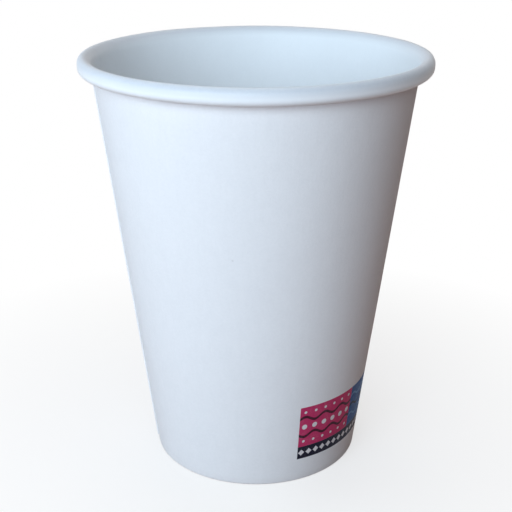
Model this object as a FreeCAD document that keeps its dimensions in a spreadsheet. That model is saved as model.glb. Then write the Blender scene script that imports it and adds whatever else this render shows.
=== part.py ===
import FreeCAD, Part
import math
import os
from enum import IntEnum

import Sketcher

# A 360 ml paper coffee cup, in millimetres. It stands on Z = 0 with its axis on Z.
# The sidewall is one sheet of board: wrapped into a cone, lapped and sealed at a side seam, rolled
# outwards at the top into the rim's curl, and turned in and up at the foot into a hem.
# The floor is a second sheet: a disc whose edge is pressed down into a skirt. The wall and the hem
# grip the skirt between them, which holds the floor clear of the table.

DRIVING_SIZES = (
    ("cup_height", 110.0, "table to the top of the rim"),
    ("rim_diameter", 90.0, "across the outside of the rolled rim"),
    ("base_diameter", 56.0, "across the outside of the wall, carried down to the table"),
    ("wall_board", 0.4, "thickness of the sidewall's board"),
    ("floor_board", 0.3, "thickness of the floor's board"),
    ("curl_width", 3.7, "across the outside of the curl's upper bend"),
    ("curl_drop", 0.7, "straight stretch between the curl's upper and lower bends"),
    ("curl_gap", 0.12, "clearance between the curl's tail and the wall"),
    ("curl_tail", 0.5, "straight end of the board, tucked up behind the curl"),
    ("fold_radius", 0.3, "outside radius of the foot's pressed corners"),
    ("hem_height", 6.2, "table to the top edge of the turned-in hem"),
    ("floor_height", 7.5, "table to the underside of the floor"),
    ("floor_bend", 0.7, "outside radius between the floor and its skirt"),
    ("skirt_clearance", 0.2, "clearance between the skirt's edge and the fold below it"),
    ("seam_overlap", 7.0, "width of the lap at the side seam, at the foot"),
    ("seam_ramp", 1.5, "width over which the lap's top layer climbs onto the one below"),
    ("seam_clearance", 0.4, "clearance between the seam's top edge and the curl"),
    ("seam_azimuth", 178.0, "place of the seam round the axis, in degrees from +X towards +Y"),
)

# The wall's lean from the axis: its outer face runs from the foot's corner to the inside of the curl.
BEND_OUT = "(sizes.rim_diameter - sizes.curl_width - sizes.base_diameter) / 2"
BEND_UP = "(sizes.cup_height - sizes.curl_width / 2)"
BEND_INSIDE = "(sizes.curl_width / 2 - sizes.wall_board)"
LEAN = (
    f"atan({BEND_OUT} / {BEND_UP})"
    f" - asin({BEND_INSIDE} / sqrt({BEND_OUT} * {BEND_OUT} + {BEND_UP} * {BEND_UP}))"
)

# The ramp of the seam is cut through nearly the whole top layer, which leaves a clean edge at its foot.
RAMP_SHARE = 0.96


class Spot(IntEnum):
    """The points of an edge, as a constraint numbers them."""

    START = 1
    END = 2
    CENTRE = 3


class Datum(IntEnum):
    """A sketch's own axes, and its origin, as a constraint numbers them."""

    X_AXIS = -1
    Y_AXIS = -2
    ORIGIN = -1


START, END, CENTRE = Spot.START, Spot.END, Spot.CENTRE
X_AXIS, Y_AXIS, ORIGIN = Datum.X_AXIS, Datum.Y_AXIS, Datum.ORIGIN


def make_sheet(doc):
    """The spreadsheet of driving sizes, each cell with its alias and its meaning."""
    sheet = doc.addObject("Spreadsheet::Sheet", "sizes")
    for row, (alias, value, meaning) in enumerate(DRIVING_SIZES, start=1):
        sheet.set(f"A{row}", alias)
        sheet.set(f"B{row}", str(value))
        sheet.setAlias(f"B{row}", alias)
        sheet.set(f"C{row}", meaning)
    doc.recompute()
    return sheet


class HalfSection:
    """Where things lie in the cup's half section, as (radius, height), for the sketches to start from."""

    def __init__(self, sheet):
        self.sheet = sheet
        self.bend_radius = sheet.curl_width / 2
        self.bend = (sheet.rim_diameter / 2 - self.bend_radius, sheet.cup_height - self.bend_radius)
        across = self.bend[0] - sheet.base_diameter / 2
        inside = self.bend_radius - sheet.wall_board
        self.lean = math.atan(across / self.bend[1]) - math.asin(inside / math.hypot(across, self.bend[1]))

    def face(self, depth, height):
        """The point at a height, on the line that lies a depth inside the wall's outer face."""
        foot = self.sheet.base_diameter / 2 - depth / math.cos(self.lean)
        return (foot + height * math.tan(self.lean), height)

    def slide(self, point, along, inward=0.0):
        """A point moved along the wall, upwards, and then square to it, inwards."""
        return (
            point[0] + along * math.sin(self.lean) - inward * math.cos(self.lean),
            point[1] + along * math.cos(self.lean) + inward * math.sin(self.lean),
        )

    def round_point(self, centre, radius):
        """The point of a circle where its tangent is parallel to the wall, on the circle's inner side."""
        return self.slide(centre, 0.0, radius)


class SectionSketch:
    """A sketch on a body's XZ plane, and short names for the edges and constraints put into it."""

    def __init__(self, body, name):
        self.sketch = body.newObject("Sketcher::SketchObject", name)
        plane = next(item for item in body.Origin.OriginFeatures if item.Role == "XZ_Plane")
        self.sketch.AttachmentSupport = (plane, [""])
        self.sketch.MapMode = "FlatFace"

    def line(self, start, end, construction=False):
        """A straight edge between two points, and its number."""
        ends = [FreeCAD.Vector(x, y, 0) for x, y in (start, end)]
        return self.sketch.addGeometry(Part.LineSegment(*ends), construction)

    def arc(self, centre, radius, low, high):
        """An arc that runs anticlockwise between two angles, in radians, and its number."""
        circle = Part.Circle(FreeCAD.Vector(centre[0], centre[1], 0), FreeCAD.Vector(0, 0, 1), radius)
        return self.sketch.addGeometry(Part.ArcOfCircle(circle, low, high), False)

    def relate(self, kind, *parts):
        """A constraint without a size."""
        self.sketch.addConstraint(Sketcher.Constraint(kind, *parts))

    def drive(self, name, kind, *parts, by):
        """A constraint with a size, which an expression of the sheet's cells drives."""
        number = self.sketch.addConstraint(Sketcher.Constraint(kind, *parts))
        self.sketch.renameConstraint(number, name)
        self.sketch.setExpression(f"Constraints.{name}", by)

    def wall_line(self, place):
        """A construction line on the wall's outer face, up from the foot's corner at the wall's lean."""
        corner, height = place.face(0, 0), place.sheet.cup_height
        edge = self.line(corner, place.face(0, height), construction=True)
        self.relate("PointOnObject", edge, START, X_AXIS)
        self.drive("base_radius", "DistanceX", ORIGIN, START, edge, START, corner[0],
                   by="sizes.base_diameter / 2")
        self.drive("wall_angle", "Angle", edge, math.pi / 2 - place.lean, by=f"90 deg - ({LEAN})")
        self.drive("wall_height", "DistanceY", edge, START, edge, END, height, by="sizes.cup_height")
        return edge


def revolve(body, section, name):
    """Turns a section round the cup's axis, and returns the feature."""
    turned = body.newObject("PartDesign::Revolution", name)
    turned.Profile = section.sketch
    turned.ReferenceAxis = (section.sketch, ["V_Axis"])
    turned.Angle = 360.0
    section.sketch.Visibility = False
    return turned


def draw_wall(body, sheet, place):
    """The sidewall's half section: hem, foot, wall and curl, as one folded thickness of board."""
    board, lean, fold = sheet.wall_board, place.lean, sheet.fold_radius
    rim = sheet.rim_diameter / 2
    channel = board + sheet.floor_board
    section = SectionSketch(body, "wall_section")

    # The pressed corners of the foot.
    outer_centre = place.face(fold, fold)
    inner_centre = place.face(channel + board - fold, fold)

    # The curl's bends.
    upper, upper_radius = place.bend, place.bend_radius
    drop_height = upper[1] - sheet.curl_drop
    room = (rim - place.face(0, drop_height)[0]) * math.cos(lean) - sheet.curl_gap
    lower_radius = room / (1 + math.cos(lean))
    lower = (rim - lower_radius, drop_height)
    wall_side = math.pi - lean

    tail_foot = place.round_point(lower, lower_radius)
    tail_foot_in = place.round_point(lower, lower_radius - board)
    tail_top = place.slide(tail_foot, sheet.curl_tail)
    tail_top_in = place.slide(tail_foot_in, sheet.curl_tail)

    flat = section.line((inner_centre[0], 0), (outer_centre[0], 0))
    outer_corner = section.arc(outer_centre, fold, -math.pi / 2, -lean)
    wall_top = place.round_point(upper, upper_radius - board)
    outer_face = section.line(place.slide(outer_centre, 0, -fold), wall_top)
    upper_inside = section.arc(upper, upper_radius - board, 0, wall_side)
    drop_inside = section.line((rim - board, upper[1]), (rim - board, lower[1]))
    lower_inside = section.arc(lower, lower_radius - board, wall_side - 2 * math.pi, 0)
    tail_inside = section.line(tail_foot_in, tail_top_in)
    tail_end = section.line(tail_top_in, tail_top)
    tail_outside = section.line(tail_top, tail_foot)
    lower_outside = section.arc(lower, lower_radius, wall_side - 2 * math.pi, 0)
    drop_outside = section.line((rim, lower[1]), (rim, upper[1]))
    upper_outside = section.arc(upper, upper_radius, 0, wall_side)
    inner_face = section.line(place.round_point(upper, upper_radius), place.face(board, board))
    channel_floor = section.line(place.face(board, board), place.face(channel, board))
    hem_outside = section.line(place.face(channel, board), place.face(channel, sheet.hem_height))
    hem_top = place.slide(place.face(channel, sheet.hem_height), 0, board)
    hem_end = section.line(place.face(channel, sheet.hem_height), hem_top)
    hem_inside = section.line(hem_top, place.slide(inner_centre, 0, fold))
    inner_corner = section.arc(inner_centre, fold, math.pi - lean, math.pi * 3 / 2)

    # Smooth joints, in order round the board: each pair of edges, with the end of each that meets.
    for first, first_end, second, second_end in (
        (flat, END, outer_corner, START),
        (outer_corner, END, outer_face, START),
        (outer_face, END, upper_inside, END),
        (upper_inside, START, drop_inside, START),
        (drop_inside, END, lower_inside, END),
        (lower_inside, START, tail_inside, START),
        (tail_outside, END, lower_outside, START),
        (lower_outside, END, drop_outside, START),
        (drop_outside, END, upper_outside, START),
        (upper_outside, END, inner_face, START),
        (hem_inside, END, inner_corner, START),
        (inner_corner, END, flat, START),
    ):
        section.relate("Tangent", first, first_end, second, second_end)
    for first, second in (
        (tail_inside, tail_end),
        (tail_end, tail_outside),
        (inner_face, channel_floor),
        (channel_floor, hem_outside),
        (hem_outside, hem_end),
        (hem_end, hem_inside),
    ):
        section.relate("Coincident", first, END, second, START)

    section.relate("PointOnObject", flat, START, X_AXIS)
    section.relate("Horizontal", flat)
    section.relate("Horizontal", channel_floor)
    section.relate("Vertical", drop_inside)
    section.relate("Vertical", drop_outside)
    section.relate("Coincident", lower_inside, CENTRE, lower_outside, CENTRE)
    section.relate("Coincident", upper_inside, CENTRE, upper_outside, CENTRE)
    for leaning in (inner_face, hem_outside, hem_inside, tail_inside, tail_outside):
        section.relate("Parallel", outer_face, leaning)
    for square in (hem_end, tail_end):
        section.relate("Perpendicular", outer_face, square)
    section.relate("Equal", outer_corner, inner_corner)

    section.relate("Tangent", section.wall_line(place), outer_face)
    section.drive("fold", "Radius", outer_corner, fold, by="sizes.fold_radius")
    section.drive("bend", "Radius", upper_outside, upper_radius, by="sizes.curl_width / 2")
    section.drive("bend_out", "DistanceX", ORIGIN, START, upper_outside, CENTRE, upper[0],
                  by="(sizes.rim_diameter - sizes.curl_width) / 2")
    section.drive("bend_up", "DistanceY", ORIGIN, START, upper_outside, CENTRE, upper[1], by=BEND_UP)
    section.drive("drop", "DistanceY", drop_outside, START, drop_outside, END, sheet.curl_drop,
                  by="sizes.curl_drop")
    section.drive("tail_gap", "Distance", tail_outside, END, outer_face, sheet.curl_gap, by="sizes.curl_gap")
    section.drive("tail", "Distance", tail_outside, sheet.curl_tail, by="sizes.curl_tail")
    section.drive("channel_height", "DistanceY", ORIGIN, START, channel_floor, START, board,
                  by="sizes.wall_board")
    section.drive("skirt_room", "Distance", hem_outside, START, inner_face, sheet.floor_board,
                  by="sizes.floor_board")
    section.drive("hem_board", "Distance", hem_inside, END, hem_outside, board, by="sizes.wall_board")
    section.drive("hem", "DistanceY", ORIGIN, START, hem_outside, END, sheet.hem_height,
                  by="sizes.hem_height")
    return section


def draw_seam(body, sheet, place):
    """The section of the seam's top layer, which lies on the wall from the foot up to the curl."""
    board = sheet.wall_board
    section = SectionSketch(body, "seam_section")
    section.sketch.AttachmentOffset = FreeCAD.Placement(
        FreeCAD.Vector(0, 0, 0), FreeCAD.Rotation(FreeCAD.Vector(0, 1, 0), sheet.seam_azimuth)
    )
    section.sketch.setExpression(".AttachmentOffset.Rotation.Angle", "sizes.seam_azimuth * 1 deg")

    # The layer starts half a board deep in the wall, so that the two fuse.
    top = sheet.cup_height - sheet.curl_width - sheet.curl_drop - sheet.seam_clearance
    low_inside, low_outside = place.face(board / 2, sheet.fold_radius), place.face(-board, sheet.fold_radius)
    high_inside, high_outside = place.face(board / 2, top), place.face(-board, top)
    inside = section.line(low_inside, high_inside)
    head = section.line(high_inside, high_outside)
    outside = section.line(high_outside, low_outside)
    foot = section.line(low_outside, low_inside)
    for first, second in ((inside, head), (head, outside), (outside, foot), (foot, inside)):
        section.relate("Coincident", first, END, second, START)
    section.relate("Horizontal", head)
    section.relate("Horizontal", foot)
    section.relate("Parallel", inside, outside)

    wall_line = section.wall_line(place)
    section.relate("Parallel", wall_line, inside)
    section.drive("depth", "Distance", inside, START, wall_line, board / 2, by="sizes.wall_board / 2")
    section.drive("layer", "Distance", outside, START, inside, board * 3 / 2, by="sizes.wall_board * 1.5")
    section.drive("foot", "DistanceY", ORIGIN, START, foot, END, sheet.fold_radius, by="sizes.fold_radius")
    section.drive("head", "DistanceY", ORIGIN, START, head, START, top,
                  by="sizes.cup_height - sizes.curl_width - sizes.curl_drop - sizes.seam_clearance")
    return section


def make_sidewall(doc, sheet, place):
    """The sidewall: the turned section, and the lap of its side seam."""
    body = doc.addObject("PartDesign::Body", "sidewall")
    body.Label = "sidewall"
    revolve(body, draw_wall(body, sheet, place), "wrapped_board")
    doc.recompute()

    seam = revolve(body, draw_seam(body, sheet, place), "seam_layer")
    seam.Midplane = True
    seam.setExpression("Angle", "sizes.seam_overlap / (sizes.base_diameter / 2) * 180 / pi * 1 deg")
    doc.recompute()

    # The top layer's far side climbs onto the layer below in a ramp, and its near side is a cut edge.
    ramp = body.newObject("PartDesign::Chamfer", "seam_slope")
    ramp.Base = (seam, [long_seam_edge(seam.Shape, sheet, place)])
    ramp.ChamferType = "Two distances"
    ramp.setExpression("Size", f"sizes.wall_board * {RAMP_SHARE}")
    ramp.setExpression("Size2", "sizes.seam_ramp")
    body.Tip = ramp
    doc.recompute()
    return body


def long_seam_edge(shape, sheet, place):
    """The name of the edge along the outside of the seam's top layer, on its side away from the front."""
    azimuth = math.radians(sheet.seam_azimuth) - sheet.seam_overlap / sheet.base_diameter
    radius, height = place.face(-sheet.wall_board, sheet.cup_height / 2)
    middle = FreeCAD.Vector(radius * math.cos(azimuth), radius * math.sin(azimuth), height)
    spot = Part.Vertex(middle)
    gaps = [edge.distToShape(spot)[0] for edge in shape.Edges]
    return f"Edge{gaps.index(min(gaps)) + 1}"


def draw_floor(body, sheet, place):
    """The floor's half section: the disc, the bend at its edge, and the skirt down into the hem."""
    board, bend = sheet.floor_board, sheet.floor_bend
    lean, wall = place.lean, sheet.wall_board
    section = SectionSketch(body, "floor_section")

    under, top = sheet.floor_height, sheet.floor_height + board
    centre_height = top - bend
    centre = place.face(wall + bend, centre_height)
    skirt_foot = place.face(wall, sheet.wall_board + sheet.skirt_clearance)
    skirt_foot_in = place.slide(skirt_foot, 0, board)

    underside = section.line((0, under), (centre[0], under))
    bend_inside = section.arc(centre, bend - board, -lean, math.pi / 2)
    skirt_inside = section.line(place.slide(centre, 0, board - bend), skirt_foot_in)
    skirt_end = section.line(skirt_foot_in, skirt_foot)
    skirt_outside = section.line(skirt_foot, place.slide(centre, 0, -bend))
    bend_outside = section.arc(centre, bend, -lean, math.pi / 2)
    upside = section.line((centre[0], top), (0, top))
    axis = section.line((0, top), (0, under))

    for first, first_end, second, second_end in (
        (underside, END, bend_inside, END),
        (bend_inside, START, skirt_inside, START),
        (skirt_outside, END, bend_outside, START),
        (bend_outside, END, upside, START),
    ):
        section.relate("Tangent", first, first_end, second, second_end)
    for first, second in (
        (skirt_inside, skirt_end),
        (skirt_end, skirt_outside),
        (upside, axis),
        (axis, underside),
    ):
        section.relate("Coincident", first, END, second, START)
    section.relate("Vertical", axis)
    section.relate("PointOnObject", axis, START, Y_AXIS)
    section.relate("Horizontal", underside)
    section.relate("Horizontal", upside)
    section.relate("Coincident", bend_inside, CENTRE, bend_outside, CENTRE)
    section.relate("Perpendicular", skirt_end, skirt_outside)

    wall_line = section.wall_line(place)
    section.relate("Parallel", wall_line, skirt_outside)
    section.relate("Parallel", wall_line, skirt_inside)
    section.drive("wall_depth", "Distance", skirt_outside, START, wall_line, wall, by="sizes.wall_board")
    section.drive("board", "DistanceY", axis, END, axis, START, board, by="sizes.floor_board")
    section.drive("under", "DistanceY", ORIGIN, START, axis, END, under, by="sizes.floor_height")
    section.drive("bend", "Radius", bend_outside, bend, by="sizes.floor_bend")
    section.drive("skirt", "DistanceY", ORIGIN, START, skirt_outside, START, skirt_foot[1],
                  by="sizes.wall_board + sizes.skirt_clearance")
    return section


def make_bottom_disc(doc, sheet, place):
    """The floor: a pressed disc of board with its skirt."""
    body = doc.addObject("PartDesign::Body", "bottom_disc")
    body.Label = "bottom_disc"
    body.Tip = revolve(body, draw_floor(body, sheet, place), "pressed_board")
    doc.recompute()
    return body


def check(doc, pieces):
    """Stops if any object failed to compute, or if a piece isn't one valid solid."""
    failed = [item.Name for item in doc.Objects if {"Invalid", "Error"} & set(item.State)]
    if failed:
        raise RuntimeError(f"These objects failed to compute: {failed}")
    for piece in pieces:
        shape = piece.Shape
        if shape.isNull() or not shape.isValid() or len(shape.Solids) != 1:
            raise RuntimeError(f"{piece.Label} isn't one valid solid.")


def main():
    doc = FreeCAD.newDocument("paper_coffee_cup")
    sheet = make_sheet(doc)
    place = HalfSection(sheet)
    pieces = [make_sidewall(doc, sheet, place), make_bottom_disc(doc, sheet, place)]
    doc.recompute()
    check(doc, pieces)
    os.makedirs("parts", exist_ok=True)
    for piece in pieces:
        piece.Shape.exportStep(f"parts/{piece.Label}.step")
        print(f"{piece.Label}: {piece.Shape.Volume:.1f} cubic mm of board")


main()
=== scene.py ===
# %% [markdown]
# # A paper coffee cup
#
# This cup is two sheets of board. The wall is a fan-shaped sheet, wrapped into a cone, rolled outwards at
# the top and folded in at the foot. The floor is a disc with a skirt, gripped by that fold. The lesson
# draws each sheet's section, spins it round the axis, and gives it the board's thickness, because that is
# how a sheet keeps the same thickness round every bend.
#
# The imported model is the frame: it fixes the cup's size and place, and the script takes its main sizes
# from it.

# %% Load the frame
import math

import bmesh
import bpy
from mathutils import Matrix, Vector


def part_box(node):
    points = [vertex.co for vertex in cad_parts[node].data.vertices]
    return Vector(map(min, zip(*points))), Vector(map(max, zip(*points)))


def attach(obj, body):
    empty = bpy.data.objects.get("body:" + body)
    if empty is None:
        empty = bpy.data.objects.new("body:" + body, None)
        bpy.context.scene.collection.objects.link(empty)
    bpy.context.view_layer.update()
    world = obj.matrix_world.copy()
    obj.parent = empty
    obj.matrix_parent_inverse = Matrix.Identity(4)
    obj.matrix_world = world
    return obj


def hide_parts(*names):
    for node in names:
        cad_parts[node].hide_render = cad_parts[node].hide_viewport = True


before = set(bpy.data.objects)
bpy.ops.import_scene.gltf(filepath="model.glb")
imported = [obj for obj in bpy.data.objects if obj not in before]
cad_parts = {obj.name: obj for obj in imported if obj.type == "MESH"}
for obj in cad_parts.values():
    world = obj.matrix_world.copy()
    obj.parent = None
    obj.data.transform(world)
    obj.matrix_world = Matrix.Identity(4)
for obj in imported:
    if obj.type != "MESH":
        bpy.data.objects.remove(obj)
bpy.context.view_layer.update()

# %% [markdown]
# ## Sizes
#
# The rim's radius, the cup's height and the floor's place come from the frame. The sizes of the board and
# of its folds are the ones the frame was drawn with. The wall leans out from the foot's corner until it
# touches the inside of the curl's upper bend, so its lean is worked out from those two. The curl's tail is
# hidden, and is drawn shorter than the frame's to leave room for the flare below.

# %% Take the sizes from the frame
MM = 0.001
wall_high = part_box("sidewall")[1]
floor_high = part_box("bottom_disc")[1]
RIM_RADIUS = round(wall_high.x, 4)
CUP_HEIGHT = round(wall_high.z, 4)
FLOOR_TOP = round(floor_high.z, 4)
BASE_RADIUS = 28 * MM
BOARD = 0.4 * MM
FLOOR_BOARD = 0.3 * MM
BEND_RADIUS = 1.85 * MM
CURL_DROP = 0.7 * MM
CURL_GAP = 0.12 * MM
CURL_TAIL = 0.2 * MM
HEM_HEIGHT = 6.2 * MM
FLOOR_BEND = 0.7 * MM
SKIRT_FOOT = 0.6 * MM
FLARE_FOOT = 1.0 * MM
TOP_SHIFT = 0.35 * MM

bend_out = RIM_RADIUS - BEND_RADIUS
bend_up = CUP_HEIGHT - BEND_RADIUS
run_out = bend_out - BASE_RADIUS
LEAN = math.atan(run_out / bend_up) - math.asin((BEND_RADIUS - BOARD) / math.hypot(run_out, bend_up))


def on_wall(depth, height):
    """The point, as radius and height, that lies a depth inside the wall's outer face."""
    return (BASE_RADIUS - depth / math.cos(LEAN) + height * math.tan(LEAN), height)


print(f"The wall leans out by {math.degrees(LEAN):.2f} degrees")

# %% [markdown]
# ## The section of the wall's sheet
#
# A sheet is easiest to draw by the line through the middle of its board. This one starts at the top edge
# of the hem, goes down inside the foot, turns under, climbs the wall, rolls outwards over the rim, and
# ends tucked up behind the curl. Most of the round stretches are arcs, so only their centre, radius and
# angles are chosen. The upper bend is two quarters of an oval instead: the wall flares out a little before
# it turns over, and the rim's highest line lies outside the middle of the curl. A curve with two handles
# draws each quarter, and handles 0.5523 of the way to the corner make it almost exactly an oval. The wall's
# straight run is cut into many short steps, so that it can take a faint unevenness.

# %% Draw the middle line of the wall's sheet
WALL_STEPS = 54
HEM_STEPS = 4
FOLD_STEPS = 8
INNER_BEND_STEPS = 11
OUTER_BEND_STEPS = 8
CURL_STEPS = 16
ROUNDNESS = 0.5523


def between_places(start, end, share):
    """The place at a share of the way between two others."""
    return (start[0] + (end[0] - start[0]) * share, start[1] + (end[1] - start[1]) * share)


def arc(centre, radius, first, last, steps):
    """Points along an arc between two angles in degrees, both ends included."""
    turns = [math.radians(first + (last - first) * step / steps) for step in range(steps + 1)]
    return [(centre[0] + radius * math.cos(turn), centre[1] + radius * math.sin(turn)) for turn in turns]


def straight(start, end, steps):
    """Points along a straight run, without its two ends."""
    return [between_places(start, end, step / steps) for step in range(1, steps)]


def oval(start, corner, end, steps):
    """Points along a quarter of an oval between two places, whose end runs point at a corner."""
    near = between_places(start, corner, ROUNDNESS)
    far = between_places(end, corner, ROUNDNESS)
    points = []
    for step in range(steps + 1):
        share = step / steps
        rest = 1 - share
        weights = (rest**3, 3 * rest**2 * share, 3 * rest * share**2, share**3)
        pulls = list(zip(weights, (start, near, far, end)))
        points.append(tuple(sum(weight * place[axis] for weight, place in pulls) for axis in range(2)))
    return points


lean_degrees = math.degrees(LEAN)
fold_radius = (BOARD + FLOOR_BOARD) / 2
fold_centre = on_wall(BOARD / 2 + fold_radius, BOARD / 2 + fold_radius)
fold = arc(fold_centre, fold_radius, 180 - lean_degrees, 360 - lean_degrees, FOLD_STEPS)

top = (bend_out + TOP_SHIFT, CUP_HEIGHT - BOARD / 2)
widest = (RIM_RADIUS - BOARD / 2, bend_up)
upper_bend = [
    *oval(on_wall(BOARD / 2, bend_up - FLARE_FOOT), on_wall(BOARD / 2, top[1]), top, INNER_BEND_STEPS),
    *oval(top, (widest[0], top[1]), widest, OUTER_BEND_STEPS)[1:],
]

drop_height = bend_up - CURL_DROP
room = (RIM_RADIUS - on_wall(0, drop_height)[0]) * math.cos(LEAN) - CURL_GAP
lower_radius = room / (1 + math.cos(LEAN))
lower = (RIM_RADIUS - lower_radius, drop_height)
lower_bend = arc(lower, lower_radius - BOARD / 2, 0, -180 - lean_degrees, CURL_STEPS)
tail = (
    lower_bend[-1][0] + CURL_TAIL * math.sin(LEAN),
    lower_bend[-1][1] + CURL_TAIL * math.cos(LEAN),
)

hem_edge = on_wall(BOARD * 3 / 2 + FLOOR_BOARD, HEM_HEIGHT)
wall_line = [
    hem_edge,
    *straight(hem_edge, fold[0], HEM_STEPS),
    *fold,
    *straight(fold[-1], upper_bend[0], WALL_STEPS),
    *upper_bend,
    *lower_bend,
    tail,
]
print(f"The wall's sheet has a line of {len(wall_line)} points")

# %% [markdown]
# ## From a line to a sheet
#
# The chain of points is extruded one vertex at a time from a plane that is first merged to a point. Spin
# then turns it once round the cup's axis. The last column lands on the first, so doubles are merged, and
# the normals are recalculated before the sheet gets its thickness. An open sheet has no inside, so
# Blender can only make its normals agree: which way they should point is tested on one face.

# %% Helpers: pick a piece, open it, choose its parts, draw a chain and spin it
COLUMNS = 320
WELD = 0.001 * MM


def pick(piece):
    """Makes a piece the only one selected, in object mode."""
    if bpy.context.object and bpy.context.object.mode != "OBJECT":
        bpy.ops.object.mode_set(mode="OBJECT")
    bpy.ops.object.select_all(action="DESELECT")
    piece.select_set(True)
    bpy.context.view_layer.objects.active = piece


def edit(piece):
    """Makes a piece the only one selected and opens it in edit mode."""
    pick(piece)
    bpy.ops.object.mode_set(mode="EDIT")


def choose(piece, kind, test):
    """Selects, in edit mode, the faces, edges or vertices that pass a test, and says how many there are."""
    bpy.ops.mesh.select_mode(type={"verts": "VERT", "edges": "EDGE", "faces": "FACE"}[kind])
    bpy.ops.mesh.select_all(action="DESELECT")
    mesh = bmesh.from_edit_mesh(piece.data)
    chosen = [item for item in getattr(mesh, kind) if test(item)]
    for item in chosen:
        item.select_set(True)
    mesh.select_flush_mode()
    bmesh.update_edit_mesh(piece.data)
    return len(chosen)


def draw_chain(name, points):
    """A new object in edit mode: a chain of vertices through points given as radius and height."""
    bpy.ops.object.select_all(action="DESELECT")
    bpy.ops.mesh.primitive_plane_add(size=MM, location=(0, 0, 0))
    piece = bpy.context.object
    piece.name = name
    piece.data.name = name
    edit(piece)
    bpy.ops.mesh.select_all(action="SELECT")
    bpy.ops.mesh.merge(type="CENTER")
    bpy.ops.transform.translate(value=(points[0][0], 0, points[0][1]))
    for before, after in zip(points, points[1:]):
        step = (after[0] - before[0], 0, after[1] - before[1])
        bpy.ops.mesh.extrude_region_move(TRANSFORM_OT_translate={"value": step})
    return piece


def spin_round(piece, place, outward):
    """Spins the chain once round the axis, welds it, and points the face nearest a place outward."""
    bpy.ops.mesh.select_all(action="SELECT")
    bpy.ops.mesh.spin(steps=COLUMNS, angle=math.tau, center=(0, 0, 0), axis=(0, 0, 1))
    bpy.ops.mesh.select_all(action="SELECT")
    bpy.ops.mesh.remove_doubles(threshold=WELD)
    bpy.ops.mesh.normals_make_consistent(inside=False)
    faces = bmesh.from_edit_mesh(piece.data).faces
    nearest = min(faces, key=lambda face: (face.calc_center_median() - Vector(place)).length)
    if nearest.normal.dot(Vector(outward)) < 0:
        bpy.ops.mesh.flip_normals()


cup_wall = draw_chain("cup_wall", wall_line)
spin_round(cup_wall, (on_wall(0, CUP_HEIGHT / 2)[0], 0, CUP_HEIGHT / 2), (1, 0, 0))
print(f"The spun wall has {len(bmesh.from_edit_mesh(cup_wall.data).faces)} faces")

# %% [markdown]
# ## A little unevenness, then the board's thickness
#
# A real cup isn't turned metal: its wall wavers by a few hundredths of a millimetre, and its rim by a
# tenth. Two Displace modifiers with broad cloud textures do that, held by vertex groups that leave the
# foot flat, so that the cup still stands. Solidify follows. It gives the new skin and the cut edges
# materials of their own: 0 is the printed outside, 1 the lined inside, which also covers the curl because
# the rim rolls outwards, and 2 the raw edges.

# %% Waver the wall, waver the rim and thicken the sheet
FOOT_FLAT = 2 * MM
WAVER_FULL = 12 * MM
RIM_FOOT = CUP_HEIGHT * 0.8
RIM_RISE = CUP_HEIGHT * 0.15
WALL_WAVER = (0.16 * MM, 22 * MM)
RIM_WAVER = (0.5 * MM, 60 * MM)


def apply_all(piece):
    """Applies every modifier of a piece, in order."""
    bpy.ops.object.mode_set(mode="OBJECT")
    for modifier in list(piece.modifiers):
        bpy.ops.object.modifier_apply(modifier=modifier.name)


def hold(piece, name, weight):
    """A vertex group whose weight is worked out from each vertex's place."""
    group = piece.vertex_groups.new(name=name)
    for vertex in piece.data.vertices:
        group.add([vertex.index], min(max(weight(vertex.co), 0.0), 1.0), "REPLACE")


def waver(piece, name, group, size, direction):
    """Adds a Displace modifier that moves a piece by a cloud pattern, given its depth and breadth."""
    depth, breadth = size
    clouds = bpy.data.textures.new(name, "CLOUDS")
    clouds.noise_scale = breadth
    clouds.noise_depth = 1
    modifier = piece.modifiers.new(name, "DISPLACE")
    modifier.texture = clouds
    modifier.texture_coords = "LOCAL"
    modifier.vertex_group = group
    modifier.direction = direction
    modifier.strength = depth
    modifier.mid_level = 0.5


board_outside = bpy.data.materials.new("board_outside")
board_lined = bpy.data.materials.new("board_lined")
board_edge = bpy.data.materials.new("board_edge")


def wear_board(piece):
    """Gives a sheet the three materials of its skins and cut edges, in Solidify's order."""
    for material in (board_outside, board_lined, board_edge):
        piece.data.materials.append(material)


def thicken(piece, thickness):
    """Adds a Solidify modifier that gives a sheet its thickness, half to each side."""
    board = piece.modifiers.new("board", "SOLIDIFY")
    board.thickness = thickness
    board.offset = 0
    board.use_even_offset = True
    board.material_offset = 1
    board.material_offset_rim = 2


bpy.ops.object.mode_set(mode="OBJECT")
wear_board(cup_wall)
hold(cup_wall, "wall", lambda co: (co.z - FOOT_FLAT) / (WAVER_FULL - FOOT_FLAT))
hold(cup_wall, "rim", lambda co: (co.z - RIM_FOOT) / RIM_RISE)
waver(cup_wall, "wall_waver", "wall", WALL_WAVER, "NORMAL")
waver(cup_wall, "rim_waver", "rim", RIM_WAVER, "Z")
thicken(cup_wall, BOARD)
apply_all(cup_wall)
print(f"The sheet now has {len(cup_wall.data.polygons)} faces on two skins and two edges")

# %% [markdown]
# ## The side seam
#
# The sheet's two ends lap at the back left, where the photograph can't show them. On the outside, the top
# layer is a strip one board thick, whose near edge is cut square and whose far side climbs in a slope. On
# the inside, the only trace is the lower layer's edge, a fine line that runs up the wall and over the
# curl. The strip is raised from the outer skin's faces, and the line is a bevelled column of edges whose
# middle is pushed in.

# %% Raise the lap on the outside
COLUMN = 360 / COLUMNS
SEAM_TURN = 170.8
LAP_START = round(SEAM_TURN / COLUMN) * COLUMN
LAP_COLUMNS = 13
LAP_END = LAP_START + LAP_COLUMNS * COLUMN
SLOPE_TURN = 0.9 * COLUMN
LAP_FOOT = 0.8 * MM
LAP_HEAD = CUP_HEIGHT - 4.8 * MM


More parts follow.
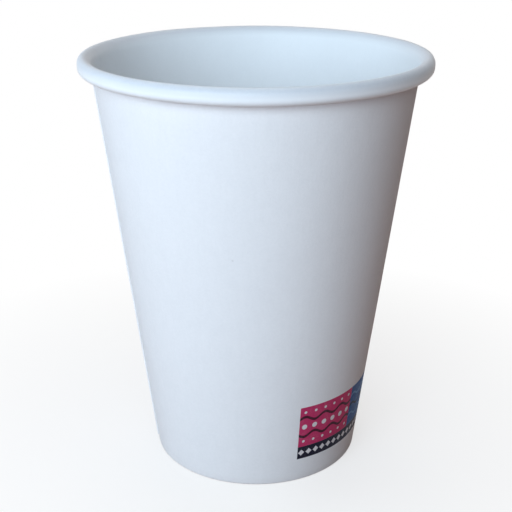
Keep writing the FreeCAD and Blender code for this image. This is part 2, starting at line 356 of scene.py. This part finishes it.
def azimuth(co):
    """The angle of a place round the axis, in degrees from +X towards +Y."""
    return math.degrees(math.atan2(co.y, co.x)) % 360


def in_lap(co):
    """True for a place between the lap's two edges."""
    return LAP_START < azimuth(co) < LAP_END


def of_lap(face):
    """True for a face of the outer skin's wall that the lap covers."""
    co = face.calc_center_median()
    leans_out = face.normal.x * co.x + face.normal.y * co.y > 0
    return face.material_index == 0 and leans_out and in_lap(co) and LAP_FOOT < co.z < LAP_HEAD


edit(cup_wall)
count = choose(cup_wall, "faces", of_lap)
bpy.ops.mesh.extrude_region_shrink_fatten(TRANSFORM_OT_shrink_fatten={"value": BOARD})
raised = {vertex.index for vertex in bmesh.from_edit_mesh(cup_wall.data).verts if vertex.select}


def sloped_side(vertex):
    """True for a raised vertex on the lap's sloping side."""
    return vertex.index in raised and azimuth(vertex.co) < LAP_START + COLUMN / 2


choose(cup_wall, "verts", sloped_side)
bpy.ops.transform.rotate(value=-math.radians(SLOPE_TURN), orient_axis="Z", center_override=(0, 0, 0))
print(f"The lap was raised from {count} faces")

# %% [markdown]
# The lap's inner trace: the column of edges at the lap's far side is bevelled into three close columns,
# and the middle one is pressed a little into the board. It runs from the floor up the lined side, over
# the curl and under it.

# %% Press the lower layer's edge into the lined side
LINE_FOOT = FLOOR_TOP + 0.6 * MM
LINE_WIDTH = 0.16 * MM
LINE_DEPTH = 0.08 * MM
LINE_SLACK = COLUMN * 0.02


def on_line(co):
    """True for a place on the seam's inner line."""
    return abs(azimuth(co) - LAP_START) < LINE_SLACK and co.z > LINE_FOOT


def line_edge(edge):
    """True for an edge of the lined skin that lies along the seam's inner line."""
    lined = all(face.material_index == 1 for face in edge.link_faces)
    return lined and all(on_line(vertex.co) for vertex in edge.verts)


def lined_vertex(vertex):
    """True for a vertex of the inner line that only lined faces touch."""
    return on_line(vertex.co) and all(face.material_index == 1 for face in vertex.link_faces)


count = choose(cup_wall, "edges", line_edge)
bpy.ops.mesh.bevel(offset=LINE_WIDTH, segments=2, affect="EDGES")
choose(cup_wall, "verts", lined_vertex)
bpy.ops.transform.shrink_fatten(value=-LINE_DEPTH)
bpy.ops.object.mode_set(mode="OBJECT")
print(f"The inner line follows {count} edges")

# %% [markdown]
# ## The floor's sheet
#
# The floor is a disc that was punched and pressed over a block, so its edge turns down through a small
# bend into the skirt, and a shallow ring stays where the tool held it. It is drawn, spun and thickened as
# the wall was. Its first point is on the axis, where the spin's columns meet in one vertex.

# %% Draw, spin and thicken the floor
DISC_STEPS = 16
BEND_STEPS = 8
SKIRT_STEPS = 4
floor_middle = FLOOR_TOP - FLOOR_BOARD / 2
bend_centre = on_wall(BOARD + FLOOR_BEND, FLOOR_TOP - FLOOR_BEND)
floor_bend = arc(bend_centre, FLOOR_BEND - FLOOR_BOARD / 2, 90, -lean_degrees, BEND_STEPS)
skirt_foot = on_wall(BOARD + FLOOR_BOARD / 2, SKIRT_FOOT)
RING_RADIUS = bend_centre[0] - 2.5 * MM
RING_HALF = 0.7 * MM
RING_DEPTH = 0.12 * MM
ring = [
    (RING_RADIUS - RING_HALF, floor_middle),
    (RING_RADIUS, floor_middle - RING_DEPTH),
    (RING_RADIUS + RING_HALF, floor_middle),
]
floor_line = [
    (0, floor_middle),
    *straight((0, floor_middle), ring[0], DISC_STEPS),
    *ring,
    *floor_bend,
    *straight(floor_bend[-1], skirt_foot, SKIRT_STEPS),
    skirt_foot,
]
cup_floor = draw_chain("cup_floor", floor_line)
spin_round(cup_floor, (BASE_RADIUS / 2, 0, floor_middle), (0, 0, -1))
bpy.ops.object.mode_set(mode="OBJECT")
wear_board(cup_floor)
thicken(cup_floor, FLOOR_BOARD)
apply_all(cup_floor)
print(f"The floor has {len(cup_floor.data.polygons)} faces")

# %% [markdown]
# ## Smooth shading with crisp edges
#
# The bends are many small faces, so they are shaded smooth, but a cut edge of board is sharp. Smooth by
# angle keeps every edge sharper than a set angle, and needs no modifier.

# %% Shade the two sheets smooth
SMOOTH_TURN = 38
for piece in (cup_wall, cup_floor):
    pick(piece)
    bpy.ops.object.shade_smooth_by_angle(angle=math.radians(SMOOTH_TURN))
print(f"Both sheets are shaded smooth up to {SMOOTH_TURN} degrees")

# %% [markdown]
# ## Uncoated board, lined board and a raw edge
#
# The outside is uncoated: matt, white, with a cloudy mottle a millimetre or two across and fibres that run
# up and down the sheet. The inside has a thin film melted onto it, so it is smoother and has a soft sheen,
# and the same skin shows on the curl. There a greyer, bluer colour is painted on as painted shade, standing
# in for the shade and cool light on the curl: half of it comes with height alone, and the other half only
# towards the outside of the curl. The cut edge is raw fibre, a little creamier. All three are built from
# noise on Object coordinates, so the grain keeps its real size wherever the camera stands.

# %% Helpers for shader nodes


def clear_tree(material):
    """Empties a material's tree, and returns the tree and a new Principled shader."""
    material.use_nodes = True
    tree = material.node_tree
    tree.nodes.clear()
    output = tree.nodes.new("ShaderNodeOutputMaterial")
    shader = tree.nodes.new("ShaderNodeBsdfPrincipled")
    tree.links.new(shader.outputs["BSDF"], output.inputs["Surface"])
    return tree, shader


def feed(tree, socket, value):
    """Sets a socket to a number, or links it to another node's output."""
    if isinstance(value, bpy.types.NodeSocket):
        tree.links.new(value, socket)
    else:
        socket.default_value = value


def maths(tree, operation, *values):
    """A Math node, fed by numbers and outputs, as its output."""
    node = tree.nodes.new("ShaderNodeMath")
    node.operation = operation
    for socket, value in zip(node.inputs, values):
        feed(tree, socket, value)
    return node.outputs[0]


def noise(tree, place, scale, stretch=(1, 1, 1), detail=3.0, roughness=0.55):
    """Noise on a stretched copy of a place, about 0.5 on average, as its output."""
    mapping = tree.nodes.new("ShaderNodeMapping")
    mapping.inputs["Scale"].default_value = stretch
    feed(tree, mapping.inputs["Vector"], place)
    node = tree.nodes.new("ShaderNodeTexNoise")
    node.inputs["Scale"].default_value = scale
    node.inputs["Detail"].default_value = detail
    node.inputs["Roughness"].default_value = roughness
    feed(tree, node.inputs["Vector"], mapping.outputs["Vector"])
    return node.outputs["Fac"]


def blend(tree, share, first, second):
    """A colour mixed from two, where each is a tuple or an output."""
    node = tree.nodes.new("ShaderNodeMix")
    node.data_type = "RGBA"
    feed(tree, node.inputs["Factor"], share)
    for name, colour in (("A", first), ("B", second)):
        socket = next(item for item in node.inputs if item.name == name and item.type == "RGBA")
        feed(tree, socket, (*colour, 1) if isinstance(colour, tuple) else colour)
    return next(item for item in node.outputs if item.type == "RGBA")


def bump(tree, height, depth):
    """A bump of some depth in metres, as a normal."""
    node = tree.nodes.new("ShaderNodeBump")
    node.inputs["Strength"].default_value = 1.0
    node.inputs["Distance"].default_value = depth
    feed(tree, node.inputs["Height"], height)
    return node.outputs["Normal"]


def add(tree, *values):
    """The sum of several numbers or outputs."""
    total = values[0]
    for value in values[1:]:
        total = maths(tree, "ADD", total, value)
    return total


def ramp(tree, value, low, high):
    """A number that climbs from 0 at a low limit to 1 at a high one."""
    node = tree.nodes.new("ShaderNodeClamp")
    share = maths(tree, "DIVIDE", maths(tree, "SUBTRACT", value, low), high - low)
    feed(tree, node.inputs["Value"], share)
    return node.outputs[0]


def centred(tree, value, size):
    """Noise moved to lie about nought, and scaled."""
    return maths(tree, "MULTIPLY", maths(tree, "SUBTRACT", value, 0.5), size)


# %% [markdown]
# The mottle is small. It mixes a little of a darker shade into the board's colour, and the same noise also
# drives the bump and the roughness.

# %% Paper grain for all three materials
BOARD_WHITE = (0.855, 0.87, 0.885)
FIBRE_SHADE = (0.72, 0.735, 0.75)
FILM_WHITE = (0.85, 0.886, 0.915)
FILM_SHADE = (0.776, 0.81, 0.835)
# The curl's colour and its limits below are painted shade: a greyer, bluer tone laid on the curl in place of
# the shade and cool light that fall there.
CURL_PAINTED_SHADE = (0.625, 0.664, 0.717)
CURL_SHADE_START = bend_out - 1.5 * MM
CURL_SHADE_FULL = CURL_SHADE_START + 1.0 * MM
CURL_SHADE_FOOT = CUP_HEIGHT - 2.4 * MM
CURL_SHADE_HEAD = CURL_SHADE_FOOT + 1.6 * MM
CURL_SHADE_BASE = 0.5
EDGE_CREAM = (0.78, 0.76, 0.70)
EDGE_SHADE = (0.55, 0.52, 0.46)
CLOUD_SCALE = 260
CLOUD_SHARE = 0.5
FLECK_SCALE = 1500
FLECK_SHARE = 0.8
FIBRE_SCALE = 900
FIBRE_SHARE = 0.4
FIBRE_STRETCH = (1, 1, 0.16)
FIBRE_RAISE = 1.4
PATCHY_SCALE = 420
PATCHY_SHARE = 0.25
FILM_SCALE = 500
FILM_FLECKS = 0.5
LAYER_SCALE = 5200
LAYER_SHARE = 0.6
LAYER_STRETCH = (0.15, 0.15, 1)
SHADE_BASE = 0.25
SHADE_SHARE = 0.5
LINED_ROUGHNESS = 0.46
EDGE_ROUGHNESS = 0.9
OUTSIDE_ROUGHNESS = 0.74
INK_SMOOTHNESS = -0.2
LINED_SHINE = 0.3
EDGE_SHINE = 0.2
OUTSIDE_SHINE = 0.08
LINED_BUMP = 0.012 * MM
EDGE_BUMP = 0.03 * MM
OUTSIDE_BUMP = 0.034 * MM


def from_axis(tree, place):
    """How far a point is from the cup's axis, in metres."""
    flat = tree.nodes.new("ShaderNodeVectorMath")
    flat.operation = "MULTIPLY"
    feed(tree, flat.inputs[0], place)
    flat.inputs[1].default_value = (1, 1, 0)
    length = tree.nodes.new("ShaderNodeVectorMath")
    length.operation = "LENGTH"
    feed(tree, length.inputs[0], flat.outputs["Vector"])
    return length.outputs["Value"]


def grain(tree):
    """Where a point lies, and the board's mottle about nought there: in all, its flecks, its fibres."""
    place = tree.nodes.new("ShaderNodeTexCoord").outputs["Object"]
    clouds = centred(tree, noise(tree, place, CLOUD_SCALE, detail=4), CLOUD_SHARE)
    flecks = centred(tree, noise(tree, place, FLECK_SCALE, detail=2, roughness=0.7), FLECK_SHARE)
    fibres = centred(tree, noise(tree, place, FIBRE_SCALE, stretch=FIBRE_STRETCH, detail=2), FIBRE_SHARE)
    return place, add(tree, clouds, flecks, fibres), flecks, fibres


def paint_lined():
    """The inside's material: board under a thin, softly shining film, with painted shade on the curl."""
    tree, shader = clear_tree(board_lined)
    place, mottle, flecks, _ = grain(tree)
    share = maths(tree, "MULTIPLY", add(tree, SHADE_BASE, mottle), SHADE_SHARE)
    split = tree.nodes.new("ShaderNodeSeparateXYZ")
    feed(tree, split.inputs[0], place)
    # Painted shade on the curl: the film is blended towards the curl's grey, half with height alone and half
    # towards the curl's outside.
    reach = ramp(tree, from_axis(tree, place), CURL_SHADE_START, CURL_SHADE_FULL)
    over = add(tree, CURL_SHADE_BASE, maths(tree, "MULTIPLY", reach, 1 - CURL_SHADE_BASE))
    climb = ramp(tree, split.outputs["Z"], CURL_SHADE_FOOT, CURL_SHADE_HEAD)
    skin = blend(tree, maths(tree, "MULTIPLY", over, climb), FILM_WHITE, CURL_PAINTED_SHADE)
    feed(tree, shader.inputs["Base Color"], blend(tree, share, skin, FILM_SHADE))
    shine = centred(tree, noise(tree, place, PATCHY_SCALE, detail=3), PATCHY_SHARE)
    feed(tree, shader.inputs["Roughness"], add(tree, LINED_ROUGHNESS, shine))
    shader.inputs["Specular IOR Level"].default_value = LINED_SHINE
    film_flecks = maths(tree, "MULTIPLY", flecks, FILM_FLECKS)
    waves = add(tree, film_flecks, noise(tree, place, FILM_SCALE, detail=2))
    feed(tree, shader.inputs["Normal"], bump(tree, waves, LINED_BUMP))


def paint_edge():
    """The cut edge's material: raw fibre in thin layers."""
    tree, shader = clear_tree(board_edge)
    place, _, flecks, _ = grain(tree)
    layers = noise(tree, place, LAYER_SCALE, stretch=LAYER_STRETCH, detail=2)
    share = maths(tree, "MULTIPLY", layers, LAYER_SHARE)
    feed(tree, shader.inputs["Base Color"], blend(tree, share, EDGE_CREAM, EDGE_SHADE))
    shader.inputs["Roughness"].default_value = EDGE_ROUGHNESS
    shader.inputs["Specular IOR Level"].default_value = EDGE_SHINE
    feed(tree, shader.inputs["Normal"], bump(tree, add(tree, layers, flecks), EDGE_BUMP))


paint_lined()
paint_edge()
print("The lined skin and the cut edge have their materials")

# %% [markdown]
# ## The printed patch
#
# At the foot of the cup, to the right, the board carries a small printed patch: a magenta field, a blue
# one beside it, and a dark band under both. What it holds here is plain decoration. Print lies flat in the
# paper, so it is colour alone, worked out from two numbers: how far round the cup a point is, in
# millimetres of arc, and how high it is. Each shape is a soft threshold, a twentieth of a millimetre wide,
# on such numbers, which stays crisp however near the camera comes. The floor's underside shares this
# material and lies at the patch's height, so the print also asks for a point's distance from the axis. The
# lengths below that carry no unit are in millimetres.

# %% Where the print lies
FRONT = -90
PATCH_LEFT = 22
PATCH_STEP = 34.7
PATCH_RADIUS = 30.1
BAND_LOW = 7.1
FIELD_LOW = 11.0
FIELD_HIGH = 23.5
FIELD_WIDTH = math.radians(PATCH_STEP) * PATCH_RADIUS
PRINT_BLUR = 0.05
MAGENTA = (0.52, 0.04, 0.135)
BLUE = (0.017, 0.076, 0.22)
SKY = (0.10, 0.23, 0.42)
NAVY = (0.006, 0.007, 0.020)
MAROON = (0.055, 0.008, 0.022)
PALE_INK = (0.74, 0.73, 0.75)

print(f"Each field of the patch is {FIELD_WIDTH:.1f} mm by {FIELD_HIGH - FIELD_LOW:.1f} mm")

# %% Shapes for the print


def above(tree, value, limit):
    """1 where a number is above a limit and 0 where it is below, with a soft step between."""
    return ramp(tree, value, limit - PRINT_BLUR / 2, limit + PRINT_BLUR / 2)


def below(tree, value, limit):
    """1 where a number is below a limit."""
    return maths(tree, "SUBTRACT", 1.0, above(tree, value, limit))


def both(tree, *masks):
    """1 where every mask is 1."""
    total = masks[0]
    for mask in masks[1:]:
        total = maths(tree, "MULTIPLY", total, mask)
    return total


def between(tree, value, low, high):
    """1 where a number lies between two limits."""
    return both(tree, above(tree, value, low), below(tree, value, high))


def repeat(tree, value, pitch):
    """How far a number is from the middle of its own repeat, where repeats follow at a pitch."""
    share = maths(tree, "FRACT", maths(tree, "DIVIDE", value, pitch))
    return maths(tree, "MULTIPLY", maths(tree, "SUBTRACT", share, 0.5), pitch)


def dots(tree, across, up, pitch, radius):
    """1 inside a row of dots at a height, some pitch apart."""
    offset = repeat(tree, across, pitch)
    squares = add(tree, maths(tree, "MULTIPLY", offset, offset), maths(tree, "MULTIPLY", up, up))
    return below(tree, maths(tree, "SQRT", squares), radius)


def lozenges(tree, across, up, pitch, radius):
    """1 inside a row of lozenges at a height, some pitch apart."""
    offset = maths(tree, "ABSOLUTE", repeat(tree, across, pitch))
    return below(tree, add(tree, offset, maths(tree, "ABSOLUTE", up)), radius)


def wave(tree, across, up, length, swing, width):
    """1 on a waving line at a height."""
    turn = maths(tree, "MULTIPLY", across, math.tau / length)
    crest = maths(tree, "MULTIPLY", maths(tree, "SINE", turn), swing)
    return below(tree, maths(tree, "ABSOLUTE", maths(tree, "SUBTRACT", up, crest)), width / 2)


# %% Lay the print
WAVE_LENGTH = FIELD_WIDTH / 3
DOT_PITCH = FIELD_WIDTH / 6
LOZENGE_PITCH = FIELD_WIDTH / 8
SWING = 0.65
MAROON_OFFSET = 2.5
MAROON_WIDTH = 0.85
DOT_OFFSET = 4.6
SKY_OFFSET = 3.2
SKY_WIDTH = 0.6
NAVY_WIDTH = 0.7
BIG_DOT = 0.75
SMALL_DOT = 0.4
LOZENGE = 0.95
PRINT_INNERMOST = BASE_RADIUS / MM + 0.3


def lay_print(tree, place, colour):
    """Lays the patch over a colour, and returns the new colour and where there is ink."""
    split = tree.nodes.new("ShaderNodeSeparateXYZ")
    feed(tree, split.inputs[0], place)
    x, y, z = split.outputs
    turn = maths(tree, "ARCTAN2", x, maths(tree, "MULTIPLY", y, -1))
    past_left = maths(tree, "SUBTRACT", turn, math.radians(PATCH_LEFT))
    across = maths(tree, "MULTIPLY", past_left, PATCH_RADIUS)
    up = maths(tree, "DIVIDE", z, MM)

    outer_face = above(tree, maths(tree, "DIVIDE", from_axis(tree, place), MM), PRINT_INNERMOST)
    rows = both(tree, outer_face, between(tree, up, FIELD_LOW, FIELD_HIGH))
    magenta = both(tree, rows, between(tree, across, 0, FIELD_WIDTH))
    blue = both(tree, rows, between(tree, across, FIELD_WIDTH, FIELD_WIDTH * 2))
    band_rows = between(tree, up, BAND_LOW, FIELD_LOW)
    band = both(tree, outer_face, band_rows, between(tree, across, 0, FIELD_WIDTH * 2))
    for field, ink in ((magenta, MAGENTA), (blue, BLUE), (band, NAVY)):
        colour = blend(tree, field, colour, ink)

    def height(place_up):
        """The height of a point above a place on the patch."""
        return maths(tree, "SUBTRACT", up, place_up)

    middle = (FIELD_LOW + FIELD_HIGH) / 2
    over_maroon = height(middle + MAROON_OFFSET)
    under_maroon = height(middle - MAROON_OFFSET)
    over_dots = height(middle + DOT_OFFSET)
    under_dots = height(middle - DOT_OFFSET)
    over_sky = height(middle + SKY_OFFSET)
    under_sky = height(middle - SKY_OFFSET)
    band_middle = height((BAND_LOW + FIELD_LOW) / 2)
    marks = [
        (magenta, MAROON, wave(tree, across, over_maroon, WAVE_LENGTH, SWING, MAROON_WIDTH)),
        (magenta, MAROON, wave(tree, across, under_maroon, WAVE_LENGTH, -SWING, MAROON_WIDTH)),
        (magenta, PALE_INK, dots(tree, across, height(middle), DOT_PITCH, BIG_DOT)),
        (magenta, PALE_INK, dots(tree, across, over_dots, DOT_PITCH, SMALL_DOT)),
        (magenta, PALE_INK, dots(tree, across, under_dots, DOT_PITCH, SMALL_DOT)),
        (blue, SKY, wave(tree, across, over_sky, WAVE_LENGTH, SWING, SKY_WIDTH)),
        (blue, NAVY, wave(tree, across, height(middle), WAVE_LENGTH, SWING, NAVY_WIDTH)),
        (blue, SKY, wave(tree, across, under_sky, WAVE_LENGTH, SWING, SKY_WIDTH)),
        (band, PALE_INK, lozenges(tree, across, band_middle, LOZENGE_PITCH, LOZENGE)),
    ]
    for field, ink, mark in marks:
        colour = blend(tree, both(tree, field, mark), colour, ink)
    return colour, maths(tree, "MAXIMUM", maths(tree, "MAXIMUM", magenta, blue), band)


# %% [markdown]
# The outside's material puts the grain under the ink, so the mottle shows faintly through it, and gives
# the ink a little more shine than the bare board. One tiny fleck of grit in the pulp shows near the middle
# of the front, and a few fainter ones are scattered over the rest.

# %% Paint the outside
SPECK_AZIMUTH = math.radians(FRONT - 8.7)
SPECK_HEIGHT = 67.3 * MM
SPECK_SIZE = 0.27 * MM
SPECK_DARK = 0.15
SCATTER_SCALE = 75
SCATTER_SIZE = 0.0105
SCATTER_DARK = 0.08
GRIT = (0.25, 0.22, 0.19)
WORN_SHARE = 0.25


def specks(tree, place):
    """How dark the grit in the pulp makes a point: one known fleck and a scatter of faint ones."""
    radius = on_wall(0, SPECK_HEIGHT)[0]
    spot = (radius * math.cos(SPECK_AZIMUTH), radius * math.sin(SPECK_AZIMUTH), SPECK_HEIGHT)
    measure = tree.nodes.new("ShaderNodeVectorMath")
    measure.operation = "DISTANCE"
    feed(tree, measure.inputs[0], place)
    measure.inputs[1].default_value = spot
    known = maths(tree, "LESS_THAN", measure.outputs["Value"], SPECK_SIZE)
    cells = tree.nodes.new("ShaderNodeTexVoronoi")
    cells.inputs["Scale"].default_value = SCATTER_SCALE
    feed(tree, cells.inputs["Vector"], place)
    scatter = maths(tree, "LESS_THAN", cells.outputs["Distance"], SCATTER_SIZE)
    known_share = maths(tree, "MULTIPLY", known, SPECK_DARK)
    return add(tree, known_share, maths(tree, "MULTIPLY", scatter, SCATTER_DARK))


def paint_outside():
    """The outside's material: matt board with its mottle, its grit and its printed patch."""
    tree, shader = clear_tree(board_outside)
    place, mottle, flecks, fibres = grain(tree)
    share = maths(tree, "MULTIPLY", add(tree, SHADE_BASE, mottle), SHADE_SHARE)
    bare = blend(tree, share, BOARD_WHITE, FIBRE_SHADE)
    bare = blend(tree, specks(tree, place), bare, GRIT)
    colour, ink = lay_print(tree, place, bare)
    worn = maths(tree, "MULTIPLY", maths(tree, "MAXIMUM", mottle, 0.0), WORN_SHARE)
    colour = blend(tree, maths(tree, "MULTIPLY", worn, ink), colour, PALE_INK)
    feed(tree, shader.inputs["Base Color"], colour)
    smoother = maths(tree, "MULTIPLY", ink, INK_SMOOTHNESS)
    feed(tree, shader.inputs["Roughness"], add(tree, OUTSIDE_ROUGHNESS, smoother, flecks))
    shader.inputs["Specular IOR Level"].default_value = OUTSIDE_SHINE
    fibre_height = maths(tree, "MULTIPLY", fibres, FIBRE_RAISE)
    height = add(tree, flecks, fibre_height, noise(tree, place, PATCHY_SCALE, detail=3))
    feed(tree, shader.inputs["Normal"], bump(tree, height, OUTSIDE_BUMP))


paint_outside()
print("The outside has its grain, grit and print")

# %% [markdown]
# ## Put the sheets on the frame
#
# The cup has one body. Each sheet rides on it and stands for the plain solid of the frame, which is hidden.

# %% Ride and replace
for piece, node, slot in ((cup_wall, "sidewall", "cup_board"), (cup_floor, "bottom_disc", "floor_board")):
    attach(piece, "root")
    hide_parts(node)
    print(f"{piece.name} stands for {node}")

# %% [markdown]
# ## The floor, the light and the camera
#
# The photograph has a white ground and soft light. Five cool lamps stand for a window that reaches from the
# front round to the left. A large one above and behind lights the rim and the inside, and a weak warm one
# comes from the right. The studio floor throws warm light back up, as a table would. The camera sees it pale
# and mixed with plain white, so that it stays white and still keeps the cup's soft shadow, which fades out
# between 3 and 14 centimetres from the axis.

# %% Lay the studio floor
FLOOR_REACH = 3.0
SHADOW_SHARE = 0.35
FLOOR_PALE = (0.92, 0.92, 0.92)
FLOOR_BOUNCE = (0.308, 0.177, 0.147)
FLOOR_ROUGHNESS = 0.9
FLOOR_SHINE = 0.1
FADE_START = 0.03
FADE_END = 0.14


def seen_plainly(tree):
    """1 where the camera, a reflection or a clear body looks, and 0 for light that is scattered."""
    path = tree.nodes.new("ShaderNodeLightPath")
    seen = maths(tree, "MAXIMUM", path.outputs["Is Camera Ray"], path.outputs["Is Glossy Ray"])
    return maths(tree, "MAXIMUM", seen, path.outputs["Is Transmission Ray"])


def whiten(tree, shader_output, share):
    """Mixes a shader with plain white where the camera or a reflection sees it."""
    white = tree.nodes.new("ShaderNodeEmission")
    white.inputs["Strength"].default_value = 1.0
    mix = tree.nodes.new("ShaderNodeMixShader")
    feed(tree, mix.inputs[0], maths(tree, "MULTIPLY", seen_plainly(tree), share))
    tree.links.new(shader_output, mix.inputs[1])
    tree.links.new(white.outputs[0], mix.inputs[2])
    return mix.outputs[0]


bpy.ops.mesh.primitive_plane_add(size=FLOOR_REACH * 2, location=(0, 0, 0))
studio_floor = bpy.context.object
studio_floor.name = "studio_floor"
ground = bpy.data.materials.new("studio_white")
tree, shader = clear_tree(ground)
path = tree.nodes.new("ShaderNodeLightPath")
feed(tree, shader.inputs["Base Color"], blend(tree, path.outputs["Is Camera Ray"], FLOOR_BOUNCE, FLOOR_PALE))
shader.inputs["Roughness"].default_value = FLOOR_ROUGHNESS
shader.inputs["Specular IOR Level"].default_value = FLOOR_SHINE
place = tree.nodes.new("ShaderNodeTexCoord").outputs["Object"]
reach = tree.nodes.new("ShaderNodeVectorMath")
reach.operation = "LENGTH"
feed(tree, reach.inputs[0], place)
fade = tree.nodes.new("ShaderNodeMapRange")
feed(tree, fade.inputs["Value"], reach.outputs["Value"])
fade.inputs["From Min"].default_value = FADE_START
fade.inputs["From Max"].default_value = FADE_END
fade.inputs["To Min"].default_value = 1 - SHADOW_SHARE
fade.inputs["To Max"].default_value = 1.0
output = next(node for node in tree.nodes if node.type == "OUTPUT_MATERIAL")
tree.links.new(whiten(tree, shader.outputs["BSDF"], fade.outputs["Result"]), output.inputs["Surface"])
studio_floor.data.materials.append(ground)
print("The studio floor is in place")

# %% Light the cup
AMBIENT = 0.05


def lamp(name, position, aim, size, power, colour):
    """A square area lamp at a position that points at a place."""
    bpy.ops.object.light_add(type="AREA", location=position)
    light = bpy.context.object
    light.name = name
    light.data.shape = "SQUARE"
    light.data.size = size
    light.data.energy = power
    light.data.color = colour
    light.rotation_euler = (Vector(aim) - Vector(position)).to_track_quat("-Z", "Y").to_euler()


world = bpy.data.worlds.new("studio")
bpy.context.scene.world = world
world.use_nodes = True
world_tree = world.node_tree
world_tree.nodes.clear()
sky = world_tree.nodes.new("ShaderNodeBackground")
brighter = maths(world_tree, "MULTIPLY", seen_plainly(world_tree), 1 - AMBIENT)
strength = maths(world_tree, "ADD", brighter, AMBIENT)
sky.inputs["Color"].default_value = (1, 1, 1, 1)
feed(world_tree, sky.inputs["Strength"], strength)
world_output = world_tree.nodes.new("ShaderNodeOutputWorld")
world_tree.links.new(sky.outputs[0], world_output.inputs["Surface"])

MIDDLE = Vector((0, 0, CUP_HEIGHT / 2))
NEAR = 0.5
FAR = 0.9
NEAR_SIZE = 0.3
FAR_SIZE = 0.6
WINDOW = (0.737, 0.877, 1.0)
CEILING = (1.0, 0.943, 0.937)
ROOM = (1.0, 0.88, 0.78)


def lamp_place(turn, climb, distance):
    """A place at a distance, from degrees to the right of the front and degrees of climb."""
    angle = math.radians(FRONT + turn)
    climb = math.radians(climb)
    away = Vector((math.cos(angle) * math.cos(climb), math.sin(angle) * math.cos(climb), math.sin(climb)))
    return MIDDLE + away * distance


lamp("window_right", lamp_place(0, 26, NEAR), MIDDLE, NEAR_SIZE, 0.46, WINDOW)
lamp("window_middle", lamp_place(-20, 26, NEAR), MIDDLE, NEAR_SIZE, 1.33, WINDOW)
lamp("window_left", lamp_place(-40, 16, NEAR), MIDDLE, NEAR_SIZE, 0.91, WINDOW)
lamp("window_far", lamp_place(-100, 6, NEAR), MIDDLE, NEAR_SIZE, 0.70, WINDOW)
lamp("window_high", lamp_place(-100, 26, NEAR), MIDDLE, NEAR_SIZE, 0.14, WINDOW)
lamp("ceiling", lamp_place(180, 60, FAR), MIDDLE, FAR_SIZE, 2.83, CEILING)
lamp("room", lamp_place(90, 35, FAR), MIDDLE, FAR_SIZE, 0.48, ROOM)
print("The lamps are set")

# %% [markdown]
# The camera is where the photograph's was, worked out from the cup's outline: a long lens 28 centimetres
# away, looking down by about 21 degrees.

# %% Set the camera
AIM = Vector((0, 0, 54.56 * MM))
CAMERA_DISTANCE = 279.9 * MM
CAMERA_PITCH = math.radians(21.15)
SENSOR_WIDTH = 36
FOCAL_LENGTH = 72.14
CLIP_START = 0.01
bpy.ops.object.camera_add()
camera = bpy.context.object
camera.name = "camera"
camera.location = AIM + Vector((0, -math.cos(CAMERA_PITCH), math.sin(CAMERA_PITCH))) * CAMERA_DISTANCE
camera.rotation_euler = (AIM - camera.location).to_track_quat("-Z", "Y").to_euler()
camera.data.sensor_width = SENSOR_WIDTH
camera.data.lens = FOCAL_LENGTH
camera.data.clip_start = CLIP_START
bpy.context.scene.camera = camera
bpy.context.scene.view_settings.view_transform = "Standard"
print("The camera stands at", [round(value, 4) for value in camera.location])
